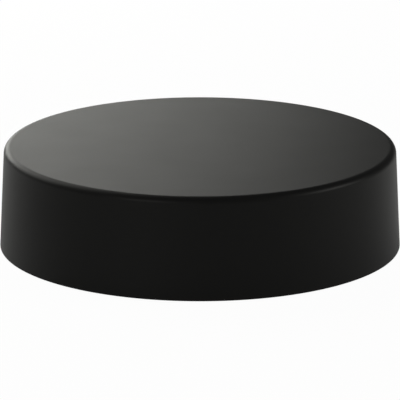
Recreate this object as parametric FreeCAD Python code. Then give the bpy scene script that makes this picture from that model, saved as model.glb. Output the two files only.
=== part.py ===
import FreeCAD, Part
import math
import os

# Low round puck antenna for a panel: a drafted black cover over a moulded base.
# The base has a well in its underside, and two coaxial jacks point down into it.
# Inside, one round circuit board carries a folded cellular radiator on a plastic
# carrier, and a ceramic satellite patch with its amplifier under a shield can.
# Millimetres. +Z is up, and the origin is the centre of the gasket's underside.

Vector = FreeCAD.Vector
UP = Vector(0, 0, 1)
ORIGIN = Vector(0, 0, 0)

# Cover
diameter = 100.0            # across the rim
height = 25.3               # rim to crown
draft_angle = 2.8           # degrees that the side leans in
edge_radius = 1.7           # round between the side and the crown
wall = 2.5
roof = 2.5
inside_radius = 1.0         # round inside, between wall and roof
boss_radius = 3.3
boss_lip_gap = 0.3          # from a cover boss to the base's lip
boss_web = 1.5              # thickness of the web between a boss and the wall
web_lip_gap = 0.6           # from the top of the lip to the underside of a web
cover_screw_count = 6

# Base
base_gap = 0.2              # all round, between the base and the cover
floor = 3.0
lip_height = 4.0            # of the upstand round the base, over its floor
lip = 2.4                   # thickness of that upstand
lip_chamfer = 0.5           # lead-in for the cover
landing_height = 1.5        # pad under each cover boss
landing_margin = 1.0        # that pad's radius over the boss's
well_wall = 2.5
ceiling = 2.0               # thickness of the well's ceiling
well_round = 1.0            # round inside the well's corner
mouth_land = 3.2            # flat ring between the well and the gasket's recess
mouth_round = 0.5
rib = 1.5
rib_height = 3.4
standoff_radius = 3.5
standoff_inset = 8.0        # from the cover screws' circle to the standoffs'
standoff_angle = 30         # of each standoff from the X axis, both ways and both sides
boss_round = 0.5            # round at the top of a standoff or an insert's boss
vent_wall_gap = 5.0         # from the vent's membrane to the well's wall
vent_hole_radius = 1.5

# Seal between the base and the cover
seal_groove_width = 2.3
seal_groove_depth = 1.4
seal_height = 1.8
seal_relief = 0.02          # kept free each side, as the cover's wall leans

# Gasket under the base
gasket_thickness = 1.5
gasket_proud = 0.5          # stands below the rim
gasket_width = 11.5
gasket_gap = 0.15
gasket_land = 1.0           # base left between the gasket and the screw recesses
gasket_hole_radius = 3.2

# Threaded inserts for the mounting screws
insert_count = 4
insert_radius = 2.8
insert_length = 6.5
insert_bore_radius = 1.65   # an M4 thread, drawn at its core
insert_waist_height = 0.6   # of the waist between its two knurled bands
insert_waist_depth = 0.25
insert_boss_wall = 1.95
insert_cap = 1.2            # plastic left above an insert

# Cover screws, thread drawn at its core
cover_screw_length = 10.0
cover_screw_radius = 1.25
cover_head_radius = 2.8
cover_head_height = 1.8
cover_head_round = 0.7
cover_socket = 2.8          # across the tips of its six-lobe recess
cover_socket_depth = 1.1
cover_hole_radius = 1.7
head_recess_gap = 0.4       # round each head, and under it
screw_end_gap = 0.6         # left in a blind hole past a screw's tip
screw_tip = 0.5             # chamfer at a screw's tip
six_lobe_core = 0.74        # a six-lobe recess's narrow width over its wide one
six_lobe_round = 0.14       # each lobe's radius over the wide one

# Circuit board
component_room = 7.7        # from the board to the cover's roof
board = 1.6
board_wall_gap = 1.5
board_notch_gap = 0.8
board_screw_length = 6.0
board_screw_radius = 1.05
board_head_radius = 2.3
board_head_height = 1.5
board_head_round = 0.5
board_socket = 2.1
board_socket_depth = 0.8
board_hole_radius = 1.35
pin_hole_gap = 0.12         # round each lead that goes through the board
lead_stub = 0.8             # how far a soldered lead stands past the board

# Folded cellular radiator and its carrier
radiator_roof_gap = 0.8
radiator_boss_gap = 2.2     # each side, to the cover's nearest bosses
radiator_start = 8.0        # from the centre to the radiator's near edge
radiator_edge_gap = 9.3     # from its far edge to the board's
sheet = 0.4
bend_radius = 0.5
skirt = 3.0
feed_leg = 2.0
short_leg = 4.0
leg_pitch = 4.0             # from the short leg to the feed leg
leg_tab = 1.2
slot_width = 1.2
slot_neck = 11.0            # sheet left between the slot's corner and the side of the legs
slot_inset = 5.0            # from the near edge to the slot
slot_end_margin = 8.0       # from the slot's end to the far edge
carrier_plate = 1.2
carrier_margin = 1.2        # from the carrier's outline to the radiator's folds
carrier_window_margin = 3.6
carrier_post_radius = 1.6
carrier_pin_radius = 0.7
carrier_head_radius = 1.2
carrier_head_height = 0.35
stake_inset = 5.0           # of each stake from the radiator's side and its far edge

# Satellite patch and its amplifier
patch = 25.0
patch_height = 4.0
patch_chamfer = 1.0
patch_lead_gap = 1.0        # from the jacks' leads to its near edge
patch_pin_offset = 2.0
patch_pin_radius = 0.5
patch_pin_head = 1.3
patch_pin_head_height = 0.25
patch_hole_gap = 0.08
adhesive = 0.3
adhesive_margin = 0.6
shield_width = 14.0
shield_depth = 16.0
shield_height = 1.6
shield_sheet = 0.2
shield_corner = 1.0
amplifier_size = 2.4
amplifier_height = 0.75
filter_width = 1.4
filter_depth = 1.1
filter_height = 0.5
capacitor_length = 1.0
capacitor_width = 0.5
capacitor_height = 0.4
part_pitch = 3.2            # between the amplifier's neighbours
row_pitch = 2.4             # from the amplifier's row to each capacitor row

# Coaxial jack, threads drawn at their outer diameter or, in the nut, at their middle
jack_block = 9.5
jack_block_height = 2.0
jack_block_chamfer = 0.6
jack_thread_radius = 3.175
jack_pitch_radius = 2.95
jack_recess = 0.5           # from the base's underside up to the jack's end
jack_flat = 2.75            # of the flat along the thread, from the axis
jack_hole_gap = 0.1
jack_end_chamfer = 0.3
jack_mouth_radius = 2.3
jack_mouth_depth = 1.9
jack_insulator_radius = 2.05
jack_contact_radius = 0.635
jack_socket_radius = 0.47
jack_socket_depth = 2.4
jack_slit = 0.22
jack_slit_depth = 1.8
jack_leg = 0.9
jack_leg_offset = 2.54
jack_nut_flats = 8.0
jack_nut_height = 2.2
jack_nut_chamfer = 0.4
jack_nut_chamfer_height = 0.25
jack_washer_radius = 4.5
jack_washer = 0.5
jack_washer_teeth = 12
jack_washer_gap = 0.1
jack_washer_tooth = 0.7     # how far its inner teeth reach
jack_washer_tooth_gap = 0.8
jack_seal_inner = 3.3
jack_seal_width = 1.2
jack_seal_height = 0.8
jack_seal_gap = 0.15

# Vent membrane
vent_radius = 3.5
vent_thickness = 0.3

# Levels and radii that follow from the sizes above
rim_z = gasket_proud
crown_z = rim_z + height
roof_z = crown_z - roof
floor_z = rim_z + floor
lip_z = floor_z + lip_height
landing_z = floor_z + landing_height
recess_z = gasket_thickness
board_z = roof_z - component_room
board_under_z = board_z - board
ceiling_z = board_under_z - jack_block_height
well_z = ceiling_z - ceiling
radiator_z = roof_z - radiator_roof_gap
jack_end_z = rim_z + jack_recess
lean = math.tan(math.radians(draft_angle))


def cover_outer(z):
    return diameter / 2 - (z - rim_z) * lean


def cover_inner(z):
    return cover_outer(z) - wall


def base_outer(z):
    return cover_inner(z) - base_gap


lip_inner = base_outer(lip_z) - lip
groove_z = (rim_z + lip_z) / 2
groove_floor = base_outer(groove_z) - seal_groove_depth
cover_screw_circle = lip_inner - boss_lip_gap - boss_radius
head_recess_radius = cover_head_radius + head_recess_gap
head_seat_z = rim_z + cover_head_height + head_recess_gap
gasket_outer = cover_screw_circle - head_recess_radius - gasket_land
gasket_inner = gasket_outer - gasket_width
well_radius = gasket_inner - mouth_land
standoff_circle = cover_screw_circle - standoff_inset
vent_offset = well_radius - vent_wall_gap - vent_radius
patch_distance = jack_leg_offset + jack_leg / 2 + patch_lead_gap + patch / 2
board_radius = cover_inner(board_z) - board_wall_gap
screw_angles = [k * 360 / cover_screw_count for k in range(cover_screw_count)]
insert_angles = [k * 360 / insert_count for k in range(insert_count)]
standoff_angles = [standoff_angle, 180 - standoff_angle, 180 + standoff_angle, -standoff_angle]
rib_angles = [angle + 180 / cover_screw_count for angle in screw_angles]

# The mounting circle and the jacks stand at whole millimetres, the circle in the
# middle of the gasket and the jacks half-way from the centre to the well's wall
mounting_circle = round((gasket_inner + gasket_outer) / 2)
port_offset = round(well_radius / 2)
port_places = {"cellular": -port_offset, "satellite": port_offset}

# The radiator fits between the cover's two bosses on its side
boss_turn = math.radians(360 / cover_screw_count)
radiator_half = cover_screw_circle * math.cos(boss_turn) - boss_radius - radiator_boss_gap
radiator_end = board_radius - radiator_edge_gap
short_leg_x = short_leg / 2 - radiator_half
feed_leg_x = short_leg_x + leg_pitch


# Shared shapes
def rounded_wire(corners, place):
    """Closed wire through (a, b, radius) corners, each rounded by its radius."""
    edges = []
    starts = []
    ends = []
    middles = []
    count = len(corners)
    for k, (a, b, radius) in enumerate(corners):
        here = Vector(a, b, 0)
        before = Vector(corners[k - 1][0], corners[k - 1][1], 0)
        after = Vector(corners[(k + 1) % count][0], corners[(k + 1) % count][1], 0)
        to_before = (before - here).normalize()
        to_after = (after - here).normalize()
        half = to_before.getAngle(to_after) / 2
        reach = radius / math.tan(half)
        starts.append(here + to_before * reach)
        ends.append(here + to_after * reach)
        bisector = to_before + to_after
        if radius > 0:
            bisector.normalize()
        middles.append(here + bisector * (radius / math.sin(half) - radius))
    for k in range(count):
        if corners[k][2] > 0:
            arc = Part.Arc(place(starts[k]), place(middles[k]), place(ends[k]))
            edges.append(arc.toShape())
        a, b = ends[k], starts[(k + 1) % count]
        if a.distanceToPoint(b) > 1e-6:
            edges.append(Part.LineSegment(place(a), place(b)).toShape())
    return Part.Wire(edges)


def upright(point):
    """A drawing's point stood up in the XZ plane: radius or X, then height."""
    return Vector(point.x, 0, point.y)


def turned(corners):
    """Solid turned about Z from a closed (radius, z, round) outline."""
    outline = rounded_wire(corners, upright)
    return Part.Face(outline).revolve(ORIGIN, UP, 360)


def cylinder(radius, low, high, x=0.0, y=0.0):
    return Part.makeCylinder(radius, high - low, Vector(x, y, low))


def block(x_low, x_high, y_low, y_high, z_low, z_high):
    corner = Vector(x_low, y_low, z_low)
    return Part.makeBox(x_high - x_low, y_high - y_low, z_high - z_low, corner)


def centred_block(width, depth, low, high, x=0.0, y=0.0):
    return block(x - width / 2, x + width / 2, y - depth / 2, y + depth / 2, low, high)


def rounded_block(width, depth, low, high, corner, x=0.0, y=0.0):
    corners = [
        (x - width / 2, y - depth / 2, corner),
        (x + width / 2, y - depth / 2, corner),
        (x + width / 2, y + depth / 2, corner),
        (x - width / 2, y + depth / 2, corner),
    ]
    outline = rounded_wire(corners, lambda p: Vector(p.x, p.y, low))
    return Part.Face(outline).extrude(UP * (high - low))


def around(shape, angles, circle=0.0):
    """One copy of a shape at each angle, moved out to a circle first."""
    copies = []
    for angle in angles:
        copy = shape.copy()
        copy.translate(Vector(circle, 0, 0))
        copy.rotate(ORIGIN, UP, angle)
        copies.append(copy)
    return copies


def moved(shape, x, y):
    copy = shape.copy()
    copy.translate(Vector(x, y, 0))
    return copy


def joined(first, others):
    return first.fuse(list(others)).removeSplitter()


def upright_edges(shape):
    return [e for e in shape.Edges if e.tangentAt(e.FirstParameter).cross(UP).Length < 1e-6]


def hexagon(flats, low, high):
    corner = flats / math.sqrt(3)
    points = [
        Vector(corner * math.cos(k * math.pi / 3), corner * math.sin(k * math.pi / 3), low)
        for k in range(7)
    ]
    return Part.Face(Part.makePolygon(points)).extrude(UP * (high - low))


# Housing
def radome():
    """Drafted cover with a screw boss and web at each screw."""
    blank = turned([
        (0, rim_z, 0),
        (cover_outer(rim_z), rim_z, 0),
        (cover_outer(crown_z), crown_z, edge_radius),
        (0, crown_z, 0),
    ])
    hollow = turned([
        (0, rim_z, 0),
        (cover_inner(rim_z), rim_z, 0),
        (cover_inner(roof_z), roof_z, inside_radius),
        (0, roof_z, 0),
    ])
    boss = cylinder(boss_radius, landing_z, roof_z + roof / 2)
    reach = cover_outer(rim_z) - cover_screw_circle
    web = block(0, reach, -boss_web / 2, boss_web / 2, lip_z + web_lip_gap, roof_z + roof / 2)
    inside = around(boss.fuse(web), screw_angles, cover_screw_circle)
    inside = [feature.common(blank) for feature in inside]
    pilot_top = head_seat_z + cover_screw_length + screw_end_gap
    pilot = cylinder(cover_screw_radius, landing_z, pilot_top)
    pilots = around(pilot, screw_angles, cover_screw_circle)
    return joined(blank.cut(hollow), inside).cut(pilots)


def base_section():
    """Half section of the base: well, floor, gasket recess, seal groove and lip."""
    groove_low = groove_z - seal_groove_width / 2
    groove_high = groove_z + seal_groove_width / 2
    well_outer = well_radius + well_wall
    return [
        (0, well_z, 0),
        (well_radius, well_z, well_round),
        (well_radius, rim_z, mouth_round),
        (gasket_inner - gasket_gap, rim_z, 0),
        (gasket_inner - gasket_gap, recess_z, 0),
        (gasket_outer + gasket_gap, recess_z, 0),
        (gasket_outer + gasket_gap, rim_z, 0),
        (base_outer(rim_z), rim_z, 0),
        (base_outer(groove_low), groove_low, 0),
        (groove_floor, groove_low, 0),
        (groove_floor, groove_high, 0),
        (base_outer(groove_high), groove_high, 0),
        (base_outer(lip_z - lip_chamfer), lip_z - lip_chamfer, 0),
        (base_outer(lip_z) - lip_chamfer, lip_z, 0),
        (lip_inner, lip_z, 0),
        (lip_inner, floor_z, 0),
        (well_outer, floor_z, 0),
        (well_outer, ceiling_z, well_round),
        (0, ceiling_z, 0),
    ]


def jack_hole():
    """Flatted hole for a jack's thread, with a pocket above it for its seal."""
    hole = cylinder(jack_thread_radius + jack_hole_gap, well_z, ceiling_z)
    flat = jack_flat + jack_hole_gap
    beyond = block(-2 * flat, 2 * flat, flat, 3 * flat, well_z, ceiling_z)
    pocket_radius = jack_seal_inner + jack_seal_width + jack_seal_gap
    pocket = cylinder(pocket_radius, ceiling_z - jack_seal_height, ceiling_z)
    return hole.cut(beyond).fuse(pocket)


def post(radius, low, high):
    """Round post, rounded at its top."""
    return turned([(0, low, 0), (radius, low, 0), (radius, high, boss_round), (0, high, 0)])


def base():
    insert_top = recess_z + insert_length
    insert_boss = post(insert_radius + insert_boss_wall, recess_z, insert_top + insert_cap)
    standoff = post(standoff_radius, floor_z, board_under_z)
    web_top = floor_z + rib_height
    rib_end = (lip_inner + groove_floor) / 2
    rib_start = well_radius + well_wall / 2
    landing = cylinder(boss_radius + landing_margin, floor_z, landing_z)
    inside_lip = cylinder(rib_end, floor_z, landing_z)
    radial_rib = block(rib_start, rib_end, -rib / 2, rib / 2, floor_z, web_top)
    insert_rib = block(rib_start, mounting_circle, -rib / 2, rib / 2, floor_z, web_top)
    added = around(insert_boss, insert_angles, mounting_circle)
    added += around(standoff, standoff_angles, standoff_circle)
    landings = around(landing, screw_angles, cover_screw_circle)
    added += [pad.common(inside_lip) for pad in landings]
    added += around(radial_rib, rib_angles)
    added += around(insert_rib, insert_angles)
    body = joined(turned(base_section()), added)
    pilot_low = board_z - board_screw_length - screw_end_gap
    cuts = around(cylinder(insert_radius, recess_z, insert_top), insert_angles, mounting_circle)
    board_pilot = cylinder(board_screw_radius, pilot_low, board_under_z)
    cuts += around(board_pilot, standoff_angles, standoff_circle)
    screw_hole = cylinder(cover_hole_radius, rim_z, landing_z)
    head_recess = cylinder(head_recess_radius, rim_z, head_seat_z)
    cuts += around(screw_hole.fuse(head_recess), screw_angles, cover_screw_circle)
    cuts += [moved(jack_hole(), x, 0) for x in port_places.values()]
    cuts.append(cylinder(vent_hole_radius, well_z, ceiling_z, 0, vent_offset))
    return body.cut(cuts)


def oval_ring(inner, outer, low, high):
    """Ring with an oval section, as a squeezed round seal has."""
    middle = Vector((inner + outer) / 2, 0, (low + high) / 2)
    across, along = (outer - inner) / 2, (high - low) / 2
    if across >= along:
        section = Part.Ellipse(middle + Vector(across, 0, 0), middle + Vector(0, 0, along), middle)
    else:
        section = Part.Ellipse(middle + Vector(0, 0, along), middle + Vector(across, 0, 0), middle)
    face = Part.Face(Part.Wire([section.toShape()]))
    return face.revolve(ORIGIN, UP, 360)


def rim_seal():
    inner = groove_floor + seal_relief
    outer = cover_inner(groove_z) - seal_relief
    return oval_ring(inner, outer, groove_z - seal_height / 2, groove_z + seal_height / 2)


def mounting_gasket():
    ring = cylinder(gasket_outer, 0, gasket_thickness)
    ring = ring.cut(cylinder(gasket_inner, 0, gasket_thickness))
    hole = cylinder(gasket_hole_radius, 0, gasket_thickness)
    return ring.cut(around(hole, insert_angles, mounting_circle))


def mounting_inserts():
    """Brass inserts, each with two bands that grip the plastic and a waist between."""
    low, high = recess_z, recess_z + insert_length
    band = (insert_length - insert_waist_height) / 2
    waist_radius = insert_radius - insert_waist_depth
    insert = turned([
        (insert_bore_radius, low, 0),
        (insert_radius, low, 0),
        (insert_radius, low + band, 0),
        (waist_radius, low + band, 0),
        (waist_radius, high - band, 0),
        (insert_radius, high - band, 0),
        (insert_radius, high, 0),
        (insert_bore_radius, high, 0),
    ])
    return Part.makeCompound(around(insert, insert_angles, mounting_circle))


def six_lobe(across, low, high):
    """Six-lobe recess, across the tips of its lobes."""
    lobe = cylinder(six_lobe_round * across, low, high)
    circle = (0.5 - six_lobe_round) * across
    turns = [k * 60 for k in range(6)]
    return cylinder(six_lobe_core * across / 2, low, high).fuse(around(lobe, turns, circle))


def screw(seat, tip, radius, head_radius, head, head_round, socket, socket_depth):
    """Pan-head screw along Z: its head rests on seat, and its tip is at tip."""
    way = 1 if seat > tip else -1
    outline = [
        (0, seat + way * head, 0),
        (head_radius, seat + way * head, head_round),
        (head_radius, seat, 0),
        (radius, seat, 0),
        (radius, tip + way * screw_tip, 0),
        (radius - screw_tip, tip, 0),
        (0, tip, 0),
    ]
    body = turned(outline)
    top = seat + way * head
    low, high = sorted((top, top - way * socket_depth))
    return body.cut(six_lobe(socket, low, high))


def cover_screws():
    tip = head_seat_z + cover_screw_length
    one = screw(head_seat_z, tip, cover_screw_radius, cover_head_radius,
                cover_head_height, cover_head_round, cover_socket, cover_socket_depth)
    return Part.makeCompound(around(one, screw_angles, cover_screw_circle))


def board_screws():
    tip = board_z - board_screw_length
    one = screw(board_z, tip, board_screw_radius, board_head_radius,
                board_head_height, board_head_round, board_socket, board_socket_depth)
    return Part.makeCompound(around(one, standoff_angles, standoff_circle))


def vent_membrane():
    return cylinder(vent_radius, well_z - vent_thickness, well_z, 0, vent_offset)


# Circuit board and what stands on it
def board_notch():
    """Room for a cover boss and its web, open to the board's edge."""
    radius = boss_radius + board_notch_gap
    seat = cylinder(radius, board_under_z, board_z)
    mouth = block(0, board_radius, -radius, radius, board_under_z, board_z)
    return seat.fuse(mouth)


def leg_places():
    """Middle of each radiator leg across the board, with the leg's width."""
    return [(feed_leg_x, feed_leg), (short_leg_x, short_leg)]


def post_places():
    """Middles of the carrier's four posts."""
    inset = carrier_margin + carrier_post_radius
    x = radiator_half - inset
    near = radiator_start + sheet + bend_radius + inset
    far = radiator_end - sheet - bend_radius - inset
    return [(-x, near), (x, near), (-x, far), (x, far)]


def circuit_board():
    plate = cylinder(board_radius, board_under_z, board_z)
    cuts = around(board_notch(), screw_angles, cover_screw_circle)
    hole = cylinder(board_hole_radius, board_under_z, board_z)
    cuts += around(hole, standoff_angles, standoff_circle)
    leg_hole = cylinder(jack_leg / math.sqrt(2) + pin_hole_gap, board_under_z, board_z)
    pin_hole = cylinder(jack_contact_radius + pin_hole_gap, board_under_z, board_z)
    for x in port_places.values():
        cuts.append(moved(pin_hole, x, 0))
        for side in (-1, 1):
            for end in (-1, 1):
                cuts.append(moved(leg_hole, x + side * jack_leg_offset, end * jack_leg_offset))
    for x, _ in leg_places():
        slot = centred_block(leg_tab + 2 * pin_hole_gap, sheet + 2 * pin_hole_gap,
                             board_under_z, board_z, x, radiator_start + sheet / 2)
        cuts.append(slot)
    for x, y in post_places():
        cuts.append(cylinder(carrier_pin_radius + pin_hole_gap, board_under_z, board_z, x, y))
    feed = patch_pin_radius + pin_hole_gap
    cuts.append(cylinder(feed, board_under_z, board_z, 0, patch_pin_offset - patch_distance))
    return plate.cut(cuts)


def cellular_radiator():
    """Sheet folded to a channel, then cut away to its two legs and its slot."""
    near, far = radiator_start, radiator_end
    half = radiator_half
    top, skirt_low = radiator_z, radiator_z - skirt
    leg_low = board_under_z - lead_stub
    outer = bend_radius + sheet
    channel = [
        (near, leg_low, 0),
        (near, top, outer),
        (far, top, outer),
        (far, skirt_low, 0),
        (far - sheet, skirt_low, 0),
        (far - sheet, top - sheet, bend_radius),
        (near + sheet, top - sheet, bend_radius),
        (near + sheet, leg_low, 0),
    ]
    outline = rounded_wire(channel, lambda p: Vector(-half, p.x, p.y))
    folded = Part.Face(outline).extrude(Vector(2 * half, 0, 0))
    side = block(-half, half, near, near + sheet, leg_low, top - outer)
    legs = []
    for x, width in leg_places():
        legs.append(centred_block(width, sheet, board_z, top - outer, x, near + sheet / 2))
        legs.append(centred_block(leg_tab, sheet, leg_low, board_z, x, near + sheet / 2))
    waste = side.cut(legs)
    slot_x = slot_neck - half
    slot_y = near + slot_inset
    slot = block(slot_x, half, slot_y, slot_y + slot_width, top - sheet, top)
    turn = block(slot_x, slot_x + slot_width, slot_y, far - slot_end_margin, top - sheet, top)
    holes = [cylinder(carrier_pin_radius + pin_hole_gap, top - sheet, top, x, y)
             for x, y in stake_places()]
    return folded.cut([waste, slot, turn] + holes)


def stake_places():
    """Middles of the two stakes that hold the radiator on its carrier."""
    x = radiator_half - stake_inset
    y = radiator_end - stake_inset
    return [(-x, y), (x, y)]


def radiator_carrier():
    """Open frame on four posts, staked under the board and over the radiator."""
    under = radiator_z - sheet
    inset = sheet + bend_radius + carrier_margin
    near, far = radiator_start + inset, radiator_end - inset
    width = 2 * (radiator_half - carrier_margin)
    middle = (near + far) / 2
    frame = rounded_block(width, far - near, under - carrier_plate, under,
                          carrier_post_radius, 0, middle)
    window = rounded_block(width - 2 * carrier_window_margin,
                           far - near - 2 * carrier_window_margin,
                           under - carrier_plate, under, carrier_post_radius, 0, middle)
    parts = []
    for x, y in post_places():
        parts.append(cylinder(carrier_post_radius, board_z, under - carrier_plate, x, y))
        parts.append(cylinder(carrier_pin_radius, board_under_z, board_z, x, y))
        parts.append(cylinder(carrier_head_radius, board_under_z - carrier_head_height,
                              board_under_z, x, y))
    for x, y in stake_places():
        parts.append(cylinder(carrier_pin_radius, under, radiator_z, x, y))
        parts.append(cylinder(carrier_head_radius, radiator_z,
                              radiator_z + carrier_head_height, x, y))
    return joined(frame.cut(window), parts)


def satellite_patch():
    low = board_z + adhesive
    body = centred_block(patch, patch, low, low + patch_height, 0, -patch_distance)
    body = body.makeChamfer(patch_chamfer, upright_edges(body))
    hole = cylinder(patch_pin_radius + patch_hole_gap, low, low + patch_height,
                    0, patch_pin_offset - patch_distance)
    return body.cut(hole)


def patch_adhesive():
    side = patch - 2 * adhesive_margin
    pad = centred_block(side, side, board_z, board_z + adhesive, 0, -patch_distance)
    hole = cylinder(patch_pin_radius + patch_hole_gap, board_z, board_z + adhesive,
                    0, patch_pin_offset - patch_distance)
    return pad.cut(hole)


def patch_feed_pin():
    top = board_z + adhesive + patch_height
    low = board_under_z - lead_stub
    pin = turned([
        (0, low, 0),
        (patch_pin_radius, low, 0),
        (patch_pin_radius, top, 0),
        (patch_pin_head, top, 0),
        (patch_pin_head, top + patch_pin_head_height, patch_pin_head_height / 2),
        (0, top + patch_pin_head_height, 0),
    ])
    return moved(pin, 0, patch_pin_offset - patch_distance)


def amplifier_shield():
    low, high = board_under_z - shield_height, board_under_z
    can = rounded_block(shield_width, shield_depth, low, high, shield_corner,
                        0, -patch_distance)
    inside = rounded_block(shield_width - 2 * shield_sheet, shield_depth - 2 * shield_sheet,
                           low + shield_sheet, high, shield_corner - shield_sheet,
                           0, -patch_distance)
    return can.cut(inside)


def amplifier_chip():
    return centred_block(amplifier_size, amplifier_size, board_under_z - amplifier_height,
                         board_under_z, 0, -patch_distance - part_pitch / 2)


def filter_chips():
    y = -patch_distance - part_pitch / 2
    chips = [centred_block(filter_width, filter_depth, board_under_z - filter_height,
                           board_under_z, side * part_pitch, y) for side in (-1, 1)]
    return Part.makeCompound(chips)


def chip_capacitors():
    chips = []
    for row in (-1, 1):
        for column in (-1, 0, 1):
            y = -patch_distance - part_pitch / 2 + row * row_pitch
            chips.append(centred_block(capacitor_length, capacitor_width,
                                       board_under_z - capacitor_height, board_under_z,
                                       column * part_pitch, y))
    return Part.makeCompound(chips)


# Coaxial jack, drawn on the Z axis and moved out to its port
washer_z = well_z - jack_washer
nut_z = washer_z - jack_nut_height


def jack_shell():
    barrel = turned([
        (0, ceiling_z, 0),
        (jack_thread_radius, ceiling_z, 0),
        (jack_thread_radius, washer_z, 0),
        (jack_pitch_radius, washer_z, 0),
        (jack_pitch_radius, nut_z, 0),
        (jack_thread_radius, nut_z, 0),
        (jack_thread_radius, jack_end_z + jack_end_chamfer, 0),
        (jack_thread_radius - jack_end_chamfer, jack_end_z, 0),
        (0, jack_end_z, 0),
    ])
    flat = block(-2 * jack_flat, 2 * jack_flat, jack_flat, 3 * jack_flat,
                 jack_end_z, ceiling_z)
    seat = centred_block(jack_block, jack_block, ceiling_z, board_under_z)
    seat = seat.makeChamfer(jack_block_chamfer, upright_edges(seat))
    legs = []
    for side in (-1, 1):
        for end in (-1, 1):
            legs.append(centred_block(jack_leg, jack_leg, board_under_z, board_z + lead_stub,
                                      side * jack_leg_offset, end * jack_leg_offset))
    solid = joined(barrel.cut(flat), [seat] + legs)
    mouth = cylinder(jack_mouth_radius, jack_end_z, jack_end_z + jack_mouth_depth)
    bore = cylinder(jack_insulator_radius, jack_end_z, board_under_z)
    return solid.cut([mouth, bore])


def jack_insulator():
    low = jack_end_z + jack_mouth_depth
    core = cylinder(jack_insulator_radius, low, board_under_z)
    return core.cut(cylinder(jack_contact_radius, low, board_under_z))


def jack_contact():
    """Round pin with a four-leaved socket at the mating end."""
    low = jack_end_z + jack_mouth_depth
    pin = cylinder(jack_contact_radius, low, board_z + lead_stub)
    socket = cylinder(jack_socket_radius, low, low + jack_socket_depth)
    reach = 2 * jack_contact_radius
    slit = centred_block(reach, jack_slit, low, low + jack_slit_depth)
    cross = centred_block(jack_slit, reach, low, low + jack_slit_depth)
    return pin.cut([socket, slit, cross])


def jack_seal():
    outer = jack_seal_inner + jack_seal_width
    return oval_ring(jack_seal_inner, outer, ceiling_z - jack_seal_height, ceiling_z)


def jack_washer_ring():
    """Lock washer with teeth round its hole."""
    inner = jack_thread_radius + jack_washer_gap
    ring = cylinder(jack_washer_radius, washer_z, well_z)
    ring = ring.cut(cylinder(inner, washer_z, well_z))
    gap = block(0, inner + jack_washer_tooth, -jack_washer_tooth_gap / 2,
                jack_washer_tooth_gap / 2, washer_z, well_z)
    turns = [k * 360 / jack_washer_teeth for k in range(jack_washer_teeth)]
    return ring.cut(around(gap, turns))


def jack_nut():
    """Hexagon nut, its corners turned off at both ends."""
    corner = jack_nut_flats / math.sqrt(3)
    cone = turned([
        (0, nut_z, 0),
        (corner - jack_nut_chamfer, nut_z, 0),
        (corner, nut_z + jack_nut_chamfer_height, 0),
        (corner, washer_z - jack_nut_chamfer_height, 0),
        (corner - jack_nut_chamfer, washer_z, 0),
        (0, washer_z, 0),
    ])
    nut = hexagon(jack_nut_flats, nut_z, washer_z).common(cone)
    return nut.cut(cylinder(jack_pitch_radius, nut_z, washer_z))


def nodes():
    """Every separate piece by its name."""
    pieces = {
        "radome": radome(),
        "base": base(),
        "rim_seal": rim_seal(),
        "mounting_gasket": mounting_gasket(),
        "mounting_inserts": mounting_inserts(),
        "cover_screws": cover_screws(),
        "vent_membrane": vent_membrane(),
        "circuit_board": circuit_board(),
        "board_screws": board_screws(),
        "cellular_radiator": cellular_radiator(),
        "radiator_carrier": radiator_carrier(),
        "satellite_patch": satellite_patch(),
        "patch_adhesive": patch_adhesive(),
        "patch_feed_pin": patch_feed_pin(),
        "amplifier_shield": amplifier_shield(),
        "amplifier_chip": amplifier_chip(),
        "filter_chips": filter_chips(),
        "chip_capacitors": chip_capacitors(),
    }
    jack = {
        "jack_shell": jack_shell(),
        "jack_insulator": jack_insulator(),
        "jack_contact": jack_contact(),
        "jack_seal": jack_seal(),
        "jack_washer": jack_washer_ring(),
        "jack_nut": jack_nut(),
    }
    for port, x in port_places.items():
        for name, shape in jack.items():
            pieces[f"{port}_{name}"] = moved(shape, x, 0)
    return pieces


def main():
    os.makedirs("parts", exist_ok=True)
    for name, shape in nodes().items():
        shape.exportStep(f"parts/{name}.step")
        print(name, len(shape.Solids), round(shape.Volume, 2), shape.isValid())


main()
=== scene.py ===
import functools
import math

import bmesh
import bpy
from mathutils import Matrix, Vector


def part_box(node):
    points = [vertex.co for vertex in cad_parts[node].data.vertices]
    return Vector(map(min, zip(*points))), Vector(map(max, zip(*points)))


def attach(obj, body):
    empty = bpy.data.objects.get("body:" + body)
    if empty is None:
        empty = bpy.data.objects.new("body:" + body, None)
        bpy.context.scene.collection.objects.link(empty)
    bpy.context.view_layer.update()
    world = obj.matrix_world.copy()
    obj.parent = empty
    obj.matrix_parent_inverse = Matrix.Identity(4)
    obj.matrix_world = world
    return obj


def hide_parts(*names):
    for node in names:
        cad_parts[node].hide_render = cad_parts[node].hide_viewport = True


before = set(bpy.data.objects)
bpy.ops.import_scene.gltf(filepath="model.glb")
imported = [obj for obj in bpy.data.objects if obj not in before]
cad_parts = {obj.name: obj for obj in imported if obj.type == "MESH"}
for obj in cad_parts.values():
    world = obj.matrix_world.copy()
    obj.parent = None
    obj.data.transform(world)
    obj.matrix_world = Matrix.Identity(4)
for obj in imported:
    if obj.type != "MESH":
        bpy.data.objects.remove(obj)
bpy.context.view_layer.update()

bl_info = {
    "name": "Puck antenna",
    "version": (1, 0, 0),
    "blender": (4, 5, 0),
    "location": "View3D > Sidebar > Puck antenna",
    "description": "Dresses a low round panel antenna around its engineering model",
    "category": "Add Mesh",
}

MM = 0.001
PORTS = ("cellular", "satellite")


# Sizes and colours that a user would change
def length(description, millimetres):
    return bpy.props.FloatProperty(description=description, unit="LENGTH", precision=5,
                                   default=millimetres * MM)


def turn(description, degrees):
    return bpy.props.FloatProperty(description=description, subtype="ANGLE",
                                   default=math.radians(degrees))


def count(description, value):
    return bpy.props.IntProperty(description=description, default=value, min=1)


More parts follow.
